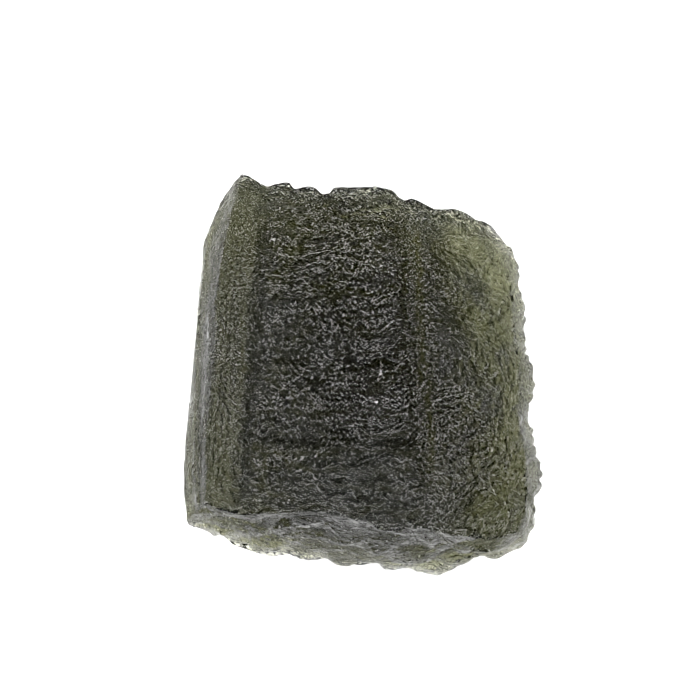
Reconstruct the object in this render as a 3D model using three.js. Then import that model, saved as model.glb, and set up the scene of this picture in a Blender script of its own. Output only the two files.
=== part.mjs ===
// A moldavite: a blocky piece of natural bottle-green glass, broken along flat planes and etched all over.
// Millimetres, +Z up. The stone lies with its broad face up, on a small flat spot under its middle.
// +X runs to the right of the broad face and +Y to its top edge.

import * as THREE from 'three';
import { ImprovedNoise } from 'three/addons/math/ImprovedNoise.js';
import { mergeVertices } from 'three/addons/utils/BufferGeometryUtils.js';

const { clamp, degToRad, smoothstep } = THREE.MathUtils;

// The outlines are given as they are seen from one eye point, in front of the stone and above it:
// u to the right and v upwards in the plane that the eye faces, with the real height z beside them.
const EYE_LEAN = degToRad(18);
const EYE_DISTANCE = 172;
const AIM = new THREE.Vector3(0, 0, 5);

// How finely the stone is divided: along its width, its length and its thickness.
const WIDTH_CELLS = 36;
const LENGTH_CELLS = 38;
const HEIGHT_CELLS = 14;

// Each loop runs around the stone: its four sides share their corners.
// The front and back run left to right, the left and right sides run front to back.
// Heights are those at the start, the middle and the end of the side.
const RIM = {
  front: {
    heights: [9.2, 9.6, 7.8],
    points: [[-9.2, -7.8], [-7.2, -8.4], [-4.2, -8.2], [-1.6, -8.3], [0, -8.7], [1.4, -9.4],
      [3.1, -9.2], [5.5, -9.5], [7.5, -9.8], [9.2, -9.4]],
  },
  back: {
    heights: [9.3, 10, 7.9],
    points: [[-7.1, 11.6], [-6.4, 11.5], [-5.8, 11.05], [-4.5, 11.2], [-3.9, 10.85], [-3.1, 10.9],
      [-2.1, 10.5], [-1.4, 10.85], [0.6, 10.9], [1.6, 10.85], [2.4, 10.15], [3, 10.2], [4.4, 9.65],
      [5.8, 9.55], [6.6, 8.95], [7.3, 8.75]],
  },
  left: {
    heights: [9.2, 9.4, 9.3],
    points: [[-9.2, -7.8], [-9.2, -4.5], [-8.8, -0.2], [-8.6, 2.1], [-8.7, 3.8], [-8.4, 5.8],
      [-8, 8.2], [-7.6, 9.8], [-7.1, 11.6]],
  },
  right: {
    heights: [7.8, 7.5, 7.9],
    points: [[9.2, -9.4], [9.7, -7.8], [9.7, -5.8], [9.4, -3.7], [9.2, -1.8], [9.3, 0.4], [9, 3],
      [8.8, 5], [8.3, 7], [7.3, 8.75]],
  },
};
const WAIST = {
  front: {
    heights: [5.2, 5.2, 4.4],
    points: [[-10.3, -8.8], [-8.6, -9.3], [-6, -9.9], [-3, -9.9], [-0.6, -10.3], [1.5, -10.7],
      [4.6, -10.9], [7.8, -10.8], [9.6, -10.1]],
  },
  back: {
    heights: [5.4, 5, 6.2],
    points: [[-8.6, 9.1], [-6.6, 9.7], [-1.9, 9.4], [2.2, 8.8], [5.2, 8.1], [8, 7.3]],
  },
  left: {
    heights: [5.2, 5.4, 5.4],
    points: [[-10.3, -8.8], [-10.35, -6.8], [-10.3, -4.6], [-10, -1.4], [-9.7, 1.6], [-9.55, 3.6],
      [-9.3, 6.8], [-9, 8.1], [-8.6, 9.1]],
  },
  right: {
    heights: [4.4, 5, 6.2],
    points: [[9.6, -10.1], [10.1, -8.4], [10.15, -6.6], [10.25, -5.4], [10.1, -4.6], [10.2, -3],
      [9.9, -2.2], [10.1, -1], [9.9, 0.4], [9.5, 0.9], [9.4, 1.9], [9.3, 3.1], [9.4, 4.4],
      [9.3, 5.6], [8.75, 6.8], [8, 7.3]],
  },
};
const BASE = {
  front: {
    heights: [3.4, 1.2, 2.8],
    points: [[-9, -9.2], [-7.9, -9.9], [-6.5, -10.6], [-5, -10.9], [-4.1, -10.7], [-3, -11.1],
      [-2.2, -10.9], [-1.3, -11.35], [0, -11.35], [0.9, -11.25], [1.5, -11.65], [2.8, -11.55],
      [4.3, -11.9], [5.2, -11.7], [6.4, -11], [7.6, -10.7], [8.8, -10.1]],
  },
  back: {
    heights: [3.7, 2.6, 4.4],
    points: [[-7.3, 8.2], [-3.6, 8.4], [-0.7, 8.1], [2.2, 7.3], [4.2, 6.4], [5.9, 5.7]],
  },
  left: {
    heights: [3.4, 3.4, 3.7],
    points: [[-9, -9.2], [-9.2, -6.4], [-8.9, -1.6], [-8.6, 2], [-8.1, 5.2], [-7.3, 8.2]],
  },
  right: {
    heights: [2.8, 3.6, 4.4],
    points: [[8.8, -10.1], [8.9, -7.6], [8.6, -5], [8.4, -2.6], [8.5, -0.4], [8, 2.2], [7.3, 4.2],
      [5.9, 5.7]],
  },
};

// The broad face has a chamfered strip at its left, a raised panel, and lower ground past a long groove.
const STRIP_LINE = [[-7.7, -8.2], [-6.9, -0.4], [-6.5, 4.9], [-6.1, 10.9]];
const STRIP_CHANNEL = { depth: 0.22, halfWidth: 0.4 };
const PANEL_RISE = { height: 0.45, width: 0.9 };
const GROOVE_LINE = [[4.5, -8.2], [4.1, -6.3], [3.6, -4.2], [3.4, -1.6], [3, 2.8], [2.8, 6.9],
  [2.5, 9.9]];
const GROOVE = { depth: 0.75, halfWidth: 0.6, fadeStart: -8, fadeEnd: -4.5 };
const RIGHT_FALL = { drop: 0.5, width: 2.6 };
const SCOOP = { u: 4.95, v: 6.9, halfWidth: 1.15, halfLength: 1.8, depth: 0.6, lean: 0.25 };

// Ledges cross the panel: each climbs to a crest and falls away behind it. They wander with the noise.
const LEDGES = { pitch: 2.1, height: 0.5, climbShare: 0.56, wander: 0.8, wanderSize: 3.6 };
const PANEL_LUMPS = { size: 1.7, height: 0.3 };
const RIGHT_LUMPS = { size: 2, height: 0.6 };

// The narrow walls: scaly lobes in front, long lamellae at the left, lumps at the right and the back.
const LOBES = { width: 2.8, rise: 2.1, height: 0.6, warp: 0.7 };
const LAMELLAE = { pitch: 1.9, height: 0.22, waveLength: 7 };
const WALL_LUMPS = { size: 2.1, height: 0.5 };

// The underside rises from the flat spot, which has a wandering edge, to the base loop.
const FLAT_SPOT = {
  u: -0.2, v: -1.2, halfWidth: 3.4, halfLength: 4.4, surround: 1.6, wander: 0.15, wanderSize: 3.1,
};
const UNDERSIDE_LUMPS = { size: 2.4, height: 0.5 };

// Relief dies out over this share of the face beside an edge, so that faces meet cleanly.
const EDGE_FADE = 0.13;

const noise = new ImprovedNoise();

// A smooth wander between -1 and 1 with features of about the given size.
function wander(a, b, size, layer) {
  return 1.6 * noise.noise(a / size, b / size, layer);
}

// A point at a real height on the line of sight through a place in the plane that the eye faces.
function seen(u, v, z) {
  const back = new THREE.Vector3(0, -Math.sin(EYE_LEAN), Math.cos(EYE_LEAN));
  const eye = AIM.clone().addScaledVector(back, EYE_DISTANCE);
  const inPlane = new THREE.Vector3(u, v * Math.cos(EYE_LEAN), AIM.z + v * Math.sin(EYE_LEAN));
  const reach = (z - eye.z) / (inPlane.z - eye.z);
  return eye.lerp(inPlane, reach).setZ(z);
}

// The first number of a list of pairs, read at a value of the second one.
function lineAt(points, v) {
  const next = points.findIndex((point) => point[1] >= v);
  if (next === 0) return points[0][0];
  if (next < 0) return points[points.length - 1][0];
  const [from, to] = [points[next - 1], points[next]];
  return from[0] + (to[0] - from[0]) * (v - from[1]) / (to[1] - from[1]);
}

// One side of a loop as a function of the share of its length: u, v and height.
function makeSide({ points, heights }) {
  const curve = new THREE.SplineCurve(points.map(([u, v]) => new THREE.Vector2(u, v)));
  const [start, middle, end] = heights;
  return (share) => {
    const place = curve.getPointAt(clamp(share, 0, 1));
    const height = throughThree(start, middle, end, share);
    return new THREE.Vector3(place.x, place.y, height);
  };
}

// A smooth run through three values at the shares 0, a half and 1.
function throughThree(start, middle, end, share) {
  const startWeight = (1 - share) * (1 - 2 * share);
  const middleWeight = 4 * share * (1 - share);
  const endWeight = share * (2 * share - 1);
  return start * startWeight + middle * middleWeight + end * endWeight;
}

function makeLoop(loop) {
  return {
    front: makeSide(loop.front),
    back: makeSide(loop.back),
    left: makeSide(loop.left),
    right: makeSide(loop.right),
  };
}

const loops = { rim: makeLoop(RIM), waist: makeLoop(WAIST), base: makeLoop(BASE) };

// A surface stretched across a loop, at shares s of its width and t of its length.
function patch(loop, s, t) {
  const across = loop.front(s).lerp(loop.back(s), t);
  const along = loop.left(t).lerp(loop.right(t), s);
  const cornersFront = loop.front(0).lerp(loop.front(1), s);
  const cornersBack = loop.back(0).lerp(loop.back(1), s);
  return across.add(along).sub(cornersFront.lerp(cornersBack, t));
}

// The point of a loop at shares s and t, one of which is 0 or 1.
function onLoop(loop, s, t) {
  if (t === 0) return loop.front(s);
  if (t === 1) return loop.back(s);
  return s === 0 ? loop.left(t) : loop.right(t);
}

// 0 at the edges of a face and 1 away from them.
function awayFromEdges(...shares) {
  const nearest = Math.min(...shares.map((share) => Math.min(share, 1 - share)));
  return smoothstep(nearest, 0, EDGE_FADE);
}

// Slow climbs with steeper falls behind them, running across the face.
function ledgeRelief(u, v) {
  const bend = LEDGES.wander * wander(u, v, LEDGES.wanderSize, 0.4);
  const phase = (v + bend) / LEDGES.pitch;
  const share = phase - Math.floor(phase);
  const climb = share < LEDGES.climbShare
    ? share / LEDGES.climbShare
    : (1 - share) / (1 - LEDGES.climbShare);
  const strength = clamp(0.75 + wander(u, v, 2.2, 5.3), 0.2, 1.4);
  return LEDGES.height * strength * (climb - 0.5);
}

function scoopRelief(u, v) {
  const across = (u - SCOOP.u - SCOOP.lean * (SCOOP.v - v)) / SCOOP.halfWidth;
  const along = (v - SCOOP.v) / SCOOP.halfLength;
  return -SCOOP.depth * Math.exp(-(across ** 2) - along ** 2);
}

function broadFaceRelief(u, v) {
  const pastStrip = u - lineAt(STRIP_LINE, v);
  const pastGroove = u - lineAt(GROOVE_LINE, v);
  const onPanel = smoothstep(pastStrip, 0, PANEL_RISE.width) * smoothstep(-pastGroove, 0.3, 1.1);
  const atRight = smoothstep(pastGroove, 0.4, RIGHT_FALL.width);
  const grooveStrength = smoothstep(v, GROOVE.fadeStart, GROOVE.fadeEnd);
  return PANEL_RISE.height * smoothstep(pastStrip, 0, PANEL_RISE.width)
    - STRIP_CHANNEL.depth * Math.exp(-((pastStrip / STRIP_CHANNEL.halfWidth) ** 2))
    - GROOVE.depth * grooveStrength * Math.exp(-((pastGroove / GROOVE.halfWidth) ** 2))
    - RIGHT_FALL.drop * atRight
    + scoopRelief(u, v)
    + onPanel * (ledgeRelief(u, v) + PANEL_LUMPS.height * wander(u, v, PANEL_LUMPS.size, 1.7))
    + atRight * RIGHT_LUMPS.height * wander(u, v, RIGHT_LUMPS.size, 2.6);
}

// Overlapping scales, each a low dome, in rows that are half a scale apart.
function lobeRelief(along, z) {
  const warpedZ = z + LOBES.warp * wander(along, z, 3.1, 8.2);
  const row = Math.round(warpedZ / LOBES.rise);
  const shift = row % 2 === 0 ? 0 : 0.5;
  const place = along / LOBES.width + shift + 0.3 * wander(along, z, 2.3, 3.9);
  const across = 2 * (place - Math.round(place));
  const upwards = 2 * (warpedZ / LOBES.rise - row);
  return LOBES.height * (0.3 - 0.6 * across ** 2 - 0.6 * upwards ** 2);
}

function lamellaRelief(v, z) {
  const drift = 0.6 * wander(v, z, LAMELLAE.waveLength, 6.6);
  return LAMELLAE.height * Math.sin((2 * Math.PI * z) / LAMELLAE.pitch + 3 * drift);
}

// How far a wall stands out at one place, by the side that it is on.
function wallRelief(side, place) {
  if (side === 'front') return lobeRelief(place.x, place.z);
  if (side === 'left') return lamellaRelief(place.y, place.z);
  const alongWall = side === 'back' ? place.x : place.y;
  return WALL_LUMPS.height * wander(alongWall, place.z, WALL_LUMPS.size, side === 'back' ? 4.4 : 7.1);
}

function sideOf(s, t) {
  if (t === 0) return 'front';
  if (t === 1) return 'back';
  return s === 0 ? 'left' : 'right';
}

const OUTWARDS = { front: [0, -1], back: [0, 1], left: [-1, 0], right: [1, 0] };

// A wall curves from the base loop out to the waist loop and in again to the rim.
function wallPoint(s, t, h) {
  const [base, waist, rim] = [loops.base, loops.waist, loops.rim].map((loop) => onLoop(loop, s, t));
  const place = new THREE.Vector3(
    throughThree(base.x, waist.x, rim.x, h),
    throughThree(base.y, waist.y, rim.y, h),
    throughThree(base.z, waist.z, rim.z, h),
  );
  const side = sideOf(s, t);
  const alongWall = side === 'front' || side === 'back' ? s : t;
  const out = wallRelief(side, place) * awayFromEdges(h, alongWall);
  const [outU, outV] = OUTWARDS[side];
  place.x += out * outU;
  place.y += out * outV;
  return place;
}

function broadFacePoint(s, t) {
  const place = patch(loops.rim, s, t);
  place.z += broadFaceRelief(place.x, place.y) * awayFromEdges(s, t);
  return place;
}

// The flat spot lies at height 0, and around it the underside curves up to the base loop.
function undersidePoint(s, t) {
  const place = patch(loops.base, s, t);
  const across = (place.x - FLAT_SPOT.u) / FLAT_SPOT.halfWidth;
  const along = (place.y - FLAT_SPOT.v) / FLAT_SPOT.halfLength;
  const edge = FLAT_SPOT.wander * wander(place.x, place.y, FLAT_SPOT.wanderSize, 2.2);
  const past = clamp((Math.hypot(across, along) + edge - 1) / FLAT_SPOT.surround, 0, 1);
  const rise = Math.sin((Math.PI / 2) * past);
  const lumps = UNDERSIDE_LUMPS.height * wander(place.x, place.y, UNDERSIDE_LUMPS.size, 9.5);
  place.z = Math.max(0, place.z * rise + lumps * rise * awayFromEdges(s, t));
  return place;
}

function stonePoint(s, t, h) {
  if (h === 1) return broadFacePoint(s, t);
  if (h === 0) return undersidePoint(s, t);
  return wallPoint(s, t, h);
}

// A divided unit box, each point of which moves to its place on the stone.
function makeStone() {
  const box = new THREE.BoxGeometry(1, 1, 1, WIDTH_CELLS, LENGTH_CELLS, HEIGHT_CELLS);
  box.deleteAttribute('normal');
  box.deleteAttribute('uv');
  const stone = mergeVertices(box, 1e-5);
  const points = stone.getAttribute('position');
  const share = (value, cells) => Math.round((value + 0.5) * cells) / cells;
  for (let i = 0; i < points.count; i += 1) {
    const s = share(points.getX(i), WIDTH_CELLS);
    const t = share(points.getY(i), LENGTH_CELLS);
    const h = share(points.getZ(i), HEIGHT_CELLS);
    const place = stonePoint(s, t, h);
    points.setXYZ(i, ...seen(place.x, place.y, place.z));
  }
  centre(stone);
  stone.computeVertexNormals();
  return stone;
}

// The middle of the stone's footprint comes to the origin, and its flat spot stays at height 0.
function centre(stone) {
  stone.computeBoundingBox();
  const middle = stone.boundingBox.getCenter(new THREE.Vector3());
  stone.translate(-middle.x, -middle.y, 0);
}

const glass = new THREE.MeshStandardMaterial({
  name: 'tektite_glass',
  color: '#5c6146',
  roughness: 0.35,
  metalness: 0,
});

const moldavite = new THREE.Mesh(makeStone(), glass);
moldavite.name = 'moldavite';

const object = new THREE.Group();
object.add(moldavite);

export default object;
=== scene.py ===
"""A moldavite: a blocky raw piece of natural green glass, lying with its broad etched face up.

Lengths named _MM and all those in Etching are millimetres, the others are metres. +X is to the right of the
broad face, +Y to its upper edge and +Z out of it. The stone was measured as a camera above it and a little
in front of it sees it.
"""

import math

import bmesh
import bpy
from bpy.props import FloatProperty, FloatVectorProperty, IntProperty, PointerProperty
from bpy.types import Operator, Panel, PropertyGroup
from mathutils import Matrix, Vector, noise


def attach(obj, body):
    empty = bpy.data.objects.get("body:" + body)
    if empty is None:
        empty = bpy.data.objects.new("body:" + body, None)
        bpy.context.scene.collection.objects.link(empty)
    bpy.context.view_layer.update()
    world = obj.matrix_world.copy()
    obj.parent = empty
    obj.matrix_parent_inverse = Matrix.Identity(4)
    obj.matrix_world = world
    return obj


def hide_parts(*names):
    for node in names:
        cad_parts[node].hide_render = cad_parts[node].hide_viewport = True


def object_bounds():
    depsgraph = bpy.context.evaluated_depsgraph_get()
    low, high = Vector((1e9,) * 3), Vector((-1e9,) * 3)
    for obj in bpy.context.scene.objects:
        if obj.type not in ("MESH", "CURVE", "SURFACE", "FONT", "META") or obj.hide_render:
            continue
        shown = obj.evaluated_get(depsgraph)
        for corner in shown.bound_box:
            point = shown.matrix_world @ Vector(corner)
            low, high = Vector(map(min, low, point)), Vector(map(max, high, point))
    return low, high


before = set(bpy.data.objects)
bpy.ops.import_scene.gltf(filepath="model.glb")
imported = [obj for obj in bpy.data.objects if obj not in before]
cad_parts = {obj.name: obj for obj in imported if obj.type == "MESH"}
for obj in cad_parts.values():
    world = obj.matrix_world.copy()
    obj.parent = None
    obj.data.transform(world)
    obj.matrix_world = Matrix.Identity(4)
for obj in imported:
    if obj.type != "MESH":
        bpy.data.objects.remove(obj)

bl_info = {
    "name": "Raw moldavite",
    "version": (1, 0, 0),
    "blender": (4, 5, 0),
    "location": "View3D > Sidebar > Moldavite",
    "description": "Etches the packed moldavite solid, gives it its glass and lights it",
    "category": "Add Mesh",
}

MM = 0.001
NODE = "moldavite"

# Each point of the stone carries this value for the shader: how deep the finest pits are there.
GRAIN = "grain_depth"

IMAGE_WIDTH = 700

# The camera aims here, and this point shows at a pixel of its own in the photograph.
AIM_MM = (-0.06, 0.34, 5)
AIM_PIXEL = (362, 373)

CAD_LOW, CAD_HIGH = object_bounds()


def linear(hex_colour):
    """Turns an sRGB hex value to the linear colour that a shader reads."""
    channels = [int(hex_colour[i:i + 2], 16) / 255 for i in (1, 3, 5)]
    return tuple(c / 12.92 if c <= 0.04045 else ((c + 0.055) / 1.055) ** 2.4 for c in channels)


# The lines that divide the broad face, as x and y in millimetres from the middle of the stone.
STRIP_LINE_MM = ((-7.5, -9.4), (-7.2, -5.8), (-6.9, -1.6), (-6.5, 3.9), (-6.3, 6.9), (-6.1, 10.2))
GROOVE_LINE_MM = (
    (4.1, -9.4), (3.8, -7.5), (3.4, -5.4), (3.2, -2.8), (2.9, 0.2), (2.7, 3.3), (2.6, 6.0), (2.3, 9.1),
)
SCOOP_MM = (4.9, 6.5)
SCOOP_RADII_MM = (1.1, 1.9)

# The scoop is smooth up to the first of these shares of its radii, and its rim ends at the second.
SCOOP_EDGE = (0.7, 1.15)

# The surface above this height is the part that the eye meets first, so it has the finest cells.
FINE_ABOVE = 5.2 * MM

# The underside has its coarsest cells below this height.
UNDERSIDE_BELOW = 2.2 * MM

# A face is on the underside or on the back wall where its normal points that way by these shares.
UNDERSIDE_SHARE = 0.5
BACK_SHARE = 0.7

# Points nearer to each other, or to the ground, than this count as touching.
TOUCHING = 0.001 * MM

# Edges of the solid that turn by more than this stay crisp.
SHARP_ANGLE = math.radians(55)

# Smoothing pulls each point in and then lets it out a little more, so that the stone doesn't shrink.
SMOOTHING_STEPS = (0.5, -0.52)

# The finest pits are deeper by this share at the back and below, where they let light into the stone.
EXTRA_HIDDEN_DEPTH = 0.6

# Distance between the finest pits, and size of the glossier and duller patches.
FINEST_PIT_MM = 0.27
PATCH_MM = 1.4

# Moldavite bends light a little less than window glass does.
GLASS_IOR = 1.49

# Each lamp's direction from the stone, its width and height in metres, and its share of the full strength.
SOFTBOXES = {
    "front_softbox": ((0.1, -0.7, 0.75), (0.24, 0.11), 0.85),
    "left_softbox": ((-0.8, 0.1, 0.7), (0.11, 0.22), 1.2),
    "right_softbox": ((0.9, 0.1, 0.6), (0.1, 0.22), 1),
    "back_softbox": ((0.15, 0.65, 0.8), (0.2, 0.08), 0.6),
}
LAMP_DISTANCE = 0.3
FLOOR_HALF_WIDTH = 0.6


class StoneSettings(PropertyGroup):
    """Sizes and colours of the etched glass."""

    etch_depth: FloatProperty(
        name="Etch depth",
        description="How deep the pits between the sharp ridges of the broad face are",
        default=0.07 * MM, unit="LENGTH", precision=5,
    )
    pit_width: FloatProperty(
        name="Pit width",
        description="Distance between neighbouring etch pits of the broad face",
        default=0.28 * MM, unit="LENGTH", precision=5,
    )
    ledge_pitch: FloatProperty(
        name="Ledge pitch",
        description="Distance between the small ledges that cross the panel",
        default=1.15 * MM, unit="LENGTH", precision=5,
    )
    ledge_height: FloatProperty(
        name="Ledge height",
        description="Height of the small ledges that cross the panel",
        default=0.32 * MM, unit="LENGTH", precision=5,
    )
    rib_pitch: FloatProperty(
        name="Rib pitch",
        description="Distance between the fine ribs of the left strip",
        default=0.32 * MM, unit="LENGTH", precision=5,
    )
    rib_height: FloatProperty(
        name="Rib height",
        description="Height of the fine ribs of the left strip",
        default=0.07 * MM, unit="LENGTH", precision=5,
    )
    grain_depth: FloatProperty(
        name="Grain depth",
        description="Depth of the finest pits, which are drawn by the shader",
        default=0.17 * MM, unit="LENGTH", precision=5,
    )
    smoothing: IntProperty(
        name="Smoothing",
        description="Rounds of smoothing that take the facets off the solid",
        default=12, min=0,
    )
    glass_colour: FloatVectorProperty(
        name="Glass colour",
        description="Colour that thick glass lets through",
        default=linear("#9b9e0c"), subtype="COLOR", size=3, min=0, max=1,
    )
    surface_colour: FloatVectorProperty(
        name="Surface colour",
        description="Tint of the etched skin",
        default=linear("#f4f4ea"), subtype="COLOR", size=3, min=0, max=1,
    )
    density: FloatProperty(
        name="Density",
        description="Absorption per metre where the glass colour is black",
        default=690,
    )
    seed: FloatProperty(
        name="Seed",
        description="Shifts all the noise, for another stone of the kind",
        default=3.7,
    )


class StageSettings(PropertyGroup):
    """Camera, floor and lights."""

    lean: FloatProperty(
        name="Camera lean",
        description="Angle of the camera from straight above, towards the front",
        default=math.radians(18), subtype="ANGLE",
    )
    distance: FloatProperty(
        name="Camera distance",
        description="From the camera to the middle of the stone",
        default=172 * MM, unit="LENGTH",
    )
    lens: FloatProperty(
        name="Lens",
        description="Focal length in millimetres",
        default=150.4,
    )
    floor_colour: FloatVectorProperty(
        name="Floor colour",
        description="The plain floor",
        default=linear("#f6f6f4"), subtype="COLOR", size=3, min=0, max=1,
    )
    floor_glow: FloatProperty(
        name="Floor glow",
        description="Light that comes up through the opal floor",
        default=0.4,
    )
    sky_strength: FloatProperty(
        name="Surround strength",
        description="Brightness of the white surround",
        default=0.3,
    )
    box_strength: FloatProperty(
        name="Softbox strength",
        description="Radiance of the softboxes",
        default=11,
    )


def smooth_step(value, low, high):
    """0 below low, 1 above high and an even run between them."""
    share = min(1, max(0, (value - low) / (high - low)))
    return share * share * (3 - 2 * share)


def bell(value, half_width):
    """1 at 0, fading out over about two half widths."""
    return math.exp(-((value / half_width) ** 2))


def line_at(points, y):
    """The x of a line of points at one y."""
    if y <= points[0][1]:
        return points[0][0]
    for (x0, y0), (x1, y1) in zip(points, points[1:]):
        if y <= y1:
            return x0 + (x1 - x0) * (y - y0) / (y1 - y0)
    return points[-1][0]


def facing(share, low=0.45, high=0.75):
    """How much a surface faces one way, from its normal's share along that way."""
    return smooth_step(share, low, high)


class Etching:
    """The relief that acid soil cut into the stone, in millimetres along the surface's normal.

    Each pattern is multiplied by its height, and what is taken off it first moves it inwards.
    """

    # Where the strip, the panel and the part right of the groove fade, measured from the line beside them.
    STRIP_END = (-0.9, -0.5)
    PANEL_START = (-0.05, 0.5)
    PANEL_END = (-0.7, -0.2)
    RIGHT_START = (0.5, 1.3)

    # Where the smooth band, the groove and the comb ribs fade along the broad face, as y.
    BAND_START = (-7.5, -5)
    GROOVE_START = (-8.5, -6.5)
    COMB_START = (-5.6, -4.6)
    COMB_END = (1.2, 2.2)

    # Half widths of the smooth band, the groove and the comb ribs, and where band and ribs lie.
    BAND_HALF_WIDTH = 0.35
    GROOVE_HALF_WIDTH = 0.45
    COMB_HALF_WIDTH = 0.6
    BAND_LEFT_OF_LINE = 0.25
    COMB_RIGHT_OF_GROOVE = 1.2

    # Distances between the repeats of each pattern.
    BEAD_PITCH = 0.37
    COMB_PITCH = 0.34
    LAMELLA_PITCH = 0.68
    SCALLOP_PITCH = 0.8

    # A small ledge climbs over this share of its pitch and falls away over the rest.
    CLIMB_SHARE = 0.65

    # The walls between pits bend over this many pit widths, by this much of one.
    BEND_LENGTH = 1.7
    BEND = 0.45

    # The ridge around a pit is this share of a pit width from its middle.
    RIM = 0.8

    # A winding ridge falls away this many times as fast as the noise that it follows.
    RIDGE_SLOPE = 2.2

    # Layers of noise lie this far apart, so that no two are alike.
    WANDER_STEP = 7.3
    PIT_STEP = 3.1

    def __init__(self, settings):
        self.depth = settings.etch_depth / MM
        self.pit = settings.pit_width / MM
        self.ledge_pitch = settings.ledge_pitch / MM
        self.ledge_height = settings.ledge_height / MM
        self.rib_pitch = settings.rib_pitch / MM
        self.rib_height = settings.rib_height / MM
        self.seed = settings.seed

    def wander(self, p, size, layer):
        """Smooth noise between about -1 and 1 with features of one size."""
        height = p.z / size + self.seed + self.WANDER_STEP * layer
        return noise.noise(Vector((p.x / size, p.y / size, height)))

    def pits(self, p, size, stretch=(1, 1, 1), layer=0):
        """Rounded pits with sharp ridges between them, from 0 in a pit to 1 on a ridge."""
        bend = Vector([self.wander(p, size * self.BEND_LENGTH, bend_layer) for bend_layer in (1, 2, 3)])
        place = Vector((p.x / stretch[0], p.y / stretch[1], p.z / stretch[2])) / size
        place = place + self.BEND * bend + Vector((0, 0, self.seed + self.PIT_STEP * layer))
        distances, _ = noise.voronoi(place)
        return min(1, distances[0] / self.RIM)

    def ledges(self, p):
        """Small steps that climb to a crisp crest and fall away behind it."""
        bend = 0.55 * self.wander(p, 1.9, layer=4) + 0.25 * self.wander(p, 0.7, layer=5)
        share = ((p.y + bend) / self.ledge_pitch) % 1
        if share < self.CLIMB_SHARE:
            return share / self.CLIMB_SHARE - 0.5
        return (1 - share) / (1 - self.CLIMB_SHARE) - 0.5

    def ribs(self, p, across):
        """Fine ribs beside each other, beaded along their length."""
        bead_turn = 2 * math.pi * p.y / self.BEAD_PITCH + 5 * self.wander(p, 0.8, layer=6)
        rib_turn = 2 * math.pi * (across + 0.1 * self.wander(p, 1.5, layer=7)) / self.rib_pitch
        return (0.5 + 0.5 * math.sin(bead_turn)) * math.sin(rib_turn)

    def worms(self, p, size, layer=8):
        """Winding ridges, 1 on their crests."""
        return 1 - abs(self.wander(p, size, layer)) * self.RIDGE_SLOPE

    def broad_face(self, p):
        """A ribbed strip, a panel of ledges and pits, a smooth groove, a scoop and winding ridges."""
        past_strip = p.x - line_at(STRIP_LINE_MM, p.y)
        past_groove = p.x - line_at(GROOVE_LINE_MM, p.y)
        in_strip = 1 - smooth_step(past_strip, *self.STRIP_END)
        smooth_band = bell(past_strip + self.BAND_LEFT_OF_LINE, self.BAND_HALF_WIDTH)
        smooth_band *= smooth_step(p.y, *self.BAND_START)
        at_right = smooth_step(past_groove, *self.RIGHT_START)
        on_panel = smooth_step(past_strip, *self.PANEL_START)
        on_panel *= 1 - smooth_step(past_groove, *self.PANEL_END)
        in_groove = bell(past_groove, self.GROOVE_HALF_WIDTH) * smooth_step(p.y, *self.GROOVE_START)
        across = (p.x - SCOOP_MM[0]) / SCOOP_RADII_MM[0]
        along = (p.y - SCOOP_MM[1]) / SCOOP_RADII_MM[1]
        in_scoop = 1 - smooth_step(math.hypot(across, along), *SCOOP_EDGE)
        comb = bell(past_groove - self.COMB_RIGHT_OF_GROOVE, self.COMB_HALF_WIDTH)
        comb *= smooth_step(p.y, *self.COMB_START)
        comb *= 1 - smooth_step(p.y, *self.COMB_END)
        calm = (1 - 0.85 * in_groove) * (1 - 0.8 * in_scoop) * (1 - 0.9 * smooth_band)
        patchy = 0.7 + 0.5 * self.wander(p, 1.6, layer=9)
        ledges = self.ledge_height * self.ledges(p) * (0.8 + 0.8 * self.wander(p, 2.5, layer=10))
        fine_pits = self.depth * patchy * (self.pits(p, self.pit, stretch=(1.15, 0.85, 1)) - 0.5)
        large_pits = 0.2 * (self.pits(p, 0.85, stretch=(1.5, 0.8, 1), layer=6) - 0.5)
        relief = on_panel * (ledges + fine_pits + large_pits)
        relief += in_strip * self.rib_height * self.ribs(p, past_strip)
        long_worms = 0.13 * (self.worms(p, 0.75) - 0.5)
        short_worms = 0.1 * (self.worms(p, 0.36, layer=20) - 0.5)
        even_pits = self.depth * (self.pits(p, self.pit) - 0.5)
        relief += at_right * (1 - comb) * (long_worms + short_worms + even_pits)
        comb_turn = 2 * math.pi * (p.y + 0.12 * self.wander(p, 0.9, layer=11)) / self.COMB_PITCH
        relief += 0.09 * comb * math.sin(comb_turn)
        waves = 0.05 * self.wander(p, 0.5, layer=12)
        return relief * calm + waves * calm

    def front_wall(self, p):
        """Scales that overlap, with winding crests on them."""
        scales = 0.36 * (1 - self.pits(p, 1.7, stretch=(1.5, 1, 0.65), layer=1) ** 2 - 0.8)
        crests = 0.15 * (self.worms(Vector((p.x / 1.8, p.y, p.z)), 0.9, layer=13) - 0.7)
        waves = 0.04 * self.wander(p, 0.3, layer=14)
        return scales + crests + waves

    def left_wall(self, p):
        """Lamellae that run along the wall."""
        bend = 0.3 * self.wander(Vector((p.x, p.y / 4, p.z)), 1.2, layer=15)
        share = ((p.z + bend) / self.LAMELLA_PITCH) % 1
        lamellae = 0.1 * (share - 0.5)
        waves = 0.03 * self.wander(Vector((p.x, p.y / 6, p.z)), 0.35, layer=16)
        return lamellae + waves

    def right_wall(self, p):
        """Scallops of uneven depth, with pits in them."""
        turn = 2 * math.pi * (p.y + 0.7 * self.wander(p, 1.4, layer=17)) / self.SCALLOP_PITCH
        height = 0.07 + 0.07 * self.wander(p, 2.2, layer=18)
        scallops = height * (math.sin(turn) - 0.8)
        pits = 0.14 * (self.pits(p, 0.5, layer=2) - 0.5)
        return scallops + pits

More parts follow.
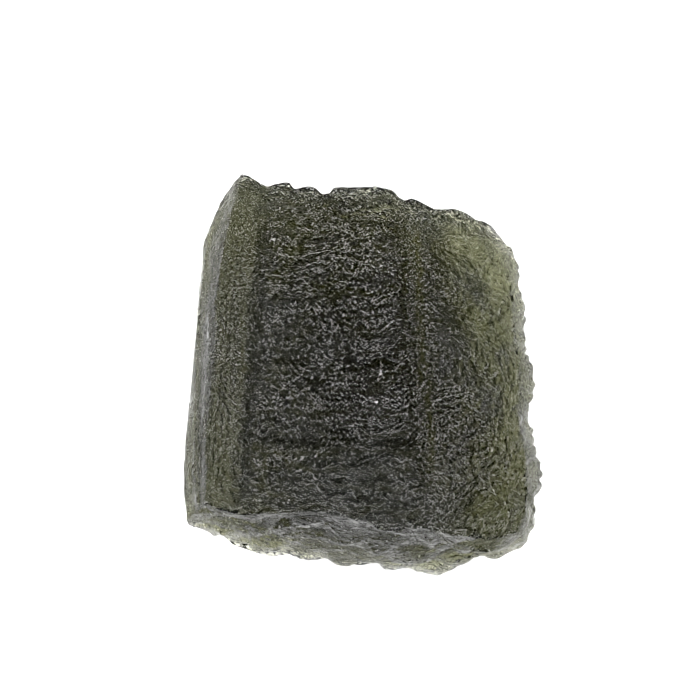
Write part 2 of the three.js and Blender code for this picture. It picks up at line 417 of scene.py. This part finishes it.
    def back_wall(self, p):
        """Large pits with small ones in them."""
        large_pits = 0.2 * (self.pits(p, 1.1, stretch=(1.2, 1, 1), layer=3) - 0.5)
        small_pits = 0.12 * (self.pits(p, 0.5, layer=4) - 0.5)
        return large_pits + small_pits

    def underside(self, p):
        """Pits that all go inwards, so that the crests between them carry the stone on the flat spot."""
        large_pits = 0.25 * (self.pits(p, 1.4, layer=7) - 1)
        small_pits = 0.15 * (self.pits(p, 0.6, layer=5) - 1)
        return large_pits + small_pits

    def at(self, p, normal):
        """All the sides' relief, each where the surface faces that way."""
        weights = {
            self.broad_face: facing(normal.z, 0.5),
            self.underside: facing(-normal.z, 0.5),
            self.front_wall: facing(-normal.y),
            self.back_wall: facing(normal.y),
            self.left_wall: facing(-normal.x),
            self.right_wall: facing(normal.x),
        }
        relief = sum(side(p) * weight for side, weight in weights.items() if weight > 0)
        return relief / max(1, sum(weights.values()))


def triangulate(bm):
    """Divides every face that has more than three corners."""
    bmesh.ops.triangulate(bm, faces=[face for face in bm.faces if len(face.verts) > 3])


def divide_finely(bm):
    """Cuts the upper sides into fine cells, the lower ones into coarser cells, and the underside least."""
    bmesh.ops.remove_doubles(bm, verts=bm.verts, dist=TOUCHING)
    bm.normal_update()
    under = {
        face for face in bm.faces
        if face.calc_center_median().z < UNDERSIDE_BELOW and face.normal.z < -UNDERSIDE_SHARE
    }
    shown = {edge for face in bm.faces if face not in under for edge in face.edges}
    hidden = [edge for edge in bm.edges if edge not in shown]
    bmesh.ops.subdivide_edges(bm, edges=hidden, cuts=1, use_grid_fill=True)
    bmesh.ops.subdivide_edges(bm, edges=list(shown), cuts=2, use_grid_fill=True)
    triangulate(bm)
    bm.normal_update()
    upper = {
        edge for face in bm.faces for edge in face.edges
        if face.calc_center_median().z > FINE_ABOVE and face.normal.y < BACK_SHARE
    }
    bmesh.ops.subdivide_edges(bm, edges=list(upper), cuts=1, use_grid_fill=True)
    triangulate(bm)


def etch(bm, settings):
    """Smooths the facets away and cuts the relief in. The flat spot stays on the ground."""
    grounded = [vert for vert in bm.verts if vert.co.z < TOUCHING]
    sharp = {vert for edge in bm.edges if edge.calc_face_angle(0) > SHARP_ANGLE for vert in edge.verts}
    rounded = [vert for vert in bm.verts if vert not in sharp]
    for _ in range(settings.smoothing):
        for factor in SMOOTHING_STEPS:
            bmesh.ops.smooth_vert(
                bm, verts=rounded, factor=factor, use_axis_x=True, use_axis_y=True, use_axis_z=True
            )
    for vert in grounded:
        vert.co.z = 0
    bm.normal_update()
    etching = Etching(settings)
    reliefs = [etching.at(vert.co / MM, vert.normal) for vert in bm.verts]
    grain = bm.verts.layers.float.new(GRAIN)
    for vert, relief in zip(bm.verts, reliefs):
        hidden = max(facing(vert.normal.y), facing(-vert.normal.z, 0.3, 0.6))
        vert[grain] = settings.grain_depth * (1 + EXTRA_HIDDEN_DEPTH * hidden)
        vert.co += vert.normal * (relief * MM)
        for axis in range(3):
            vert.co[axis] = min(CAD_HIGH[axis], max(CAD_LOW[axis], vert.co[axis]))


def add_node(tree, kind, settings=None, links=None):
    """Adds a shader node, with values or links for its inputs."""
    node = tree.nodes.new(kind)
    for name, value in (settings or {}).items():
        if isinstance(name, int) or name in node.inputs:
            node.inputs[name].default_value = value
        else:
            setattr(node, name, value)
    for name, output in (links or {}).items():
        tree.links.new(output, node.inputs[name])
    return node


def new_material(name):
    """A material with an empty node tree."""
    material = bpy.data.materials.new(name)
    material.use_nodes = True
    material.node_tree.nodes.clear()
    return material, material.node_tree


def per_size(size_mm):
    """The scale of a noise whose features are one size in millimetres."""
    return 1 / (size_mm * MM)


def etched_tektite_glass(settings):
    """Natural silica glass etched by acid soil. Small round pits cover it, each with one glint in it, so it
    sparkles where it faces a light and looks dark green elsewhere."""
    material, tree = new_material("etched_tektite_glass")
    place = add_node(tree, "ShaderNodeTexCoord").outputs["Object"]
    cells = add_node(
        tree, "ShaderNodeTexVoronoi", {"Scale": per_size(FINEST_PIT_MM)}, {"Vector": place}
    )
    bowls = add_node(
        tree, "ShaderNodeMath", {"operation": "POWER", 1: 2.0}, {0: cells.outputs["Distance"]}
    )
    patches = add_node(
        tree, "ShaderNodeTexNoise", {"Scale": per_size(PATCH_MM), "Detail": 2.0}, {"Vector": place}
    )
    roughness = add_node(
        tree, "ShaderNodeMapRange",
        {"From Min": 0.35, "From Max": 0.65, "To Min": 0.05, "To Max": 0.12},
        {"Value": patches.outputs["Fac"]},
    )
    depth = add_node(tree, "ShaderNodeAttribute", {"attribute_name": GRAIN})
    bump = add_node(
        tree, "ShaderNodeBump", {"Strength": 1.0},
        {"Height": bowls.outputs["Value"], "Distance": depth.outputs["Fac"]},
    )
    glass = add_node(
        tree, "ShaderNodeBsdfPrincipled",
        {
            "Base Color": (*settings.surface_colour, 1),
            "Transmission Weight": 1.0,
            "IOR": GLASS_IOR,
        },
        {"Roughness": roughness.outputs["Result"], "Normal": bump.outputs["Normal"]},
    )
    inside = add_node(
        tree, "ShaderNodeVolumeAbsorption",
        {"Color": (*settings.glass_colour, 1), "Density": settings.density},
    )
    add_node(
        tree, "ShaderNodeOutputMaterial", {},
        {"Surface": glass.outputs["BSDF"], "Volume": inside.outputs["Volume"]},
    )
    return material


def opal_acrylic(colour, glow):
    """A matt opal acrylic sheet with a soft light under it, so that the stone's shadow stays faint."""
    material, tree = new_material("opal_acrylic")
    board = add_node(
        tree, "ShaderNodeBsdfPrincipled",
        {
            "Base Color": (*colour, 1),
            "Roughness": 0.9,
            "Specular IOR Level": 0.1,
            "Emission Color": (1, 1, 1, 1),
            "Emission Strength": glow,
        },
    )
    add_node(tree, "ShaderNodeOutputMaterial", {}, {"Surface": board.outputs["BSDF"]})
    return material


def new_object(name, bm, material):
    """Makes an object at the origin from a bmesh."""
    mesh = bpy.data.meshes.new(name)
    bm.to_mesh(mesh)
    bm.free()
    mesh.materials.append(material)
    piece = bpy.data.objects.new(name, mesh)
    bpy.context.scene.collection.objects.link(piece)
    return piece


class MOLDAVITE_OT_stone(Operator):
    """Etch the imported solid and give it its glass"""

    bl_idname = "moldavite.stone"
    bl_label = "Etched stone"

    def execute(self, context):
        settings = context.scene.moldavite_stone
        bm = bmesh.new()
        bm.from_mesh(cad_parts[NODE].data)
        divide_finely(bm)
        etch(bm, settings)
        for face in bm.faces:
            face.smooth = True
        stone = new_object("etched_moldavite", bm, etched_tektite_glass(settings))
        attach(stone, "root")
        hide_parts(NODE)
        return {"FINISHED"}


def add_camera(settings):
    """Looks down on the stone from above its front edge."""
    middle = Vector(AIM_MM) * MM
    back = Vector((0, -math.sin(settings.lean), math.cos(settings.lean)))
    data = bpy.data.cameras.new("camera")
    data.lens = settings.lens
    data.clip_start = 1 * MM
    data.shift_x = (IMAGE_WIDTH / 2 - AIM_PIXEL[0]) / IMAGE_WIDTH
    data.shift_y = (AIM_PIXEL[1] - IMAGE_WIDTH / 2) / IMAGE_WIDTH
    camera = bpy.data.objects.new("camera", data)
    camera.location = middle + back * settings.distance
    camera.rotation_euler = (settings.lean, 0, 0)
    bpy.context.scene.collection.objects.link(camera)
    bpy.context.scene.camera = camera


def add_softbox(name, direction, size, strength):
    """A lamp that faces the stone. Its power gives the radiance asked for."""
    width, height = size
    data = bpy.data.lights.new(name, "AREA")
    data.shape = "RECTANGLE"
    data.size = width
    data.size_y = height
    data.energy = strength * math.pi * width * height
    lamp = bpy.data.objects.new(name, data)
    lamp.location = Vector(direction).normalized() * LAMP_DISTANCE
    lamp.rotation_euler = Vector(direction).to_track_quat("Z", "Y").to_euler()
    bpy.context.scene.collection.objects.link(lamp)


class MOLDAVITE_OT_stage(Operator):
    """Set up the floor, the lights and the camera"""

    bl_idname = "moldavite.stage"
    bl_label = "Stage"

    def execute(self, context):
        settings = context.scene.moldavite_stage
        bm = bmesh.new()
        bmesh.ops.create_grid(bm, x_segments=1, y_segments=1, size=FLOOR_HALF_WIDTH)
        new_object("floor", bm, opal_acrylic(settings.floor_colour, settings.floor_glow))
        world = bpy.data.worlds.new("white_surround")
        world.use_nodes = True
        world.node_tree.nodes["Background"].inputs["Color"].default_value = (1, 1, 1, 1)
        world.node_tree.nodes["Background"].inputs["Strength"].default_value = settings.sky_strength
        context.scene.world = world
        context.scene.view_settings.view_transform = "Standard"
        for name, (direction, size, share) in SOFTBOXES.items():
            add_softbox(name, direction, size, share * settings.box_strength)
        add_camera(settings)
        return {"FINISHED"}


class MOLDAVITE_PT_panel(Panel):
    """Lists the operators and their values"""

    bl_label = "Moldavite"
    bl_space_type = "VIEW_3D"
    bl_region_type = "UI"
    bl_category = "Moldavite"

    def draw(self, context):
        for operator, settings in (
            (MOLDAVITE_OT_stone, context.scene.moldavite_stone),
            (MOLDAVITE_OT_stage, context.scene.moldavite_stage),
        ):
            box = self.layout.box()
            box.operator(operator.bl_idname)
            for name in settings.__annotations__:
                box.prop(settings, name)


CLASSES = (StoneSettings, StageSettings, MOLDAVITE_OT_stone, MOLDAVITE_OT_stage, MOLDAVITE_PT_panel)


def register():
    for cls in CLASSES:
        bpy.utils.register_class(cls)
    bpy.types.Scene.moldavite_stone = PointerProperty(type=StoneSettings)
    bpy.types.Scene.moldavite_stage = PointerProperty(type=StageSettings)


def unregister():
    del bpy.types.Scene.moldavite_stage
    del bpy.types.Scene.moldavite_stone
    for cls in reversed(CLASSES):
        bpy.utils.unregister_class(cls)


def main():
    register()
    bpy.ops.moldavite.stage()
    bpy.ops.moldavite.stone()


if __name__ == "__main__":
    main()
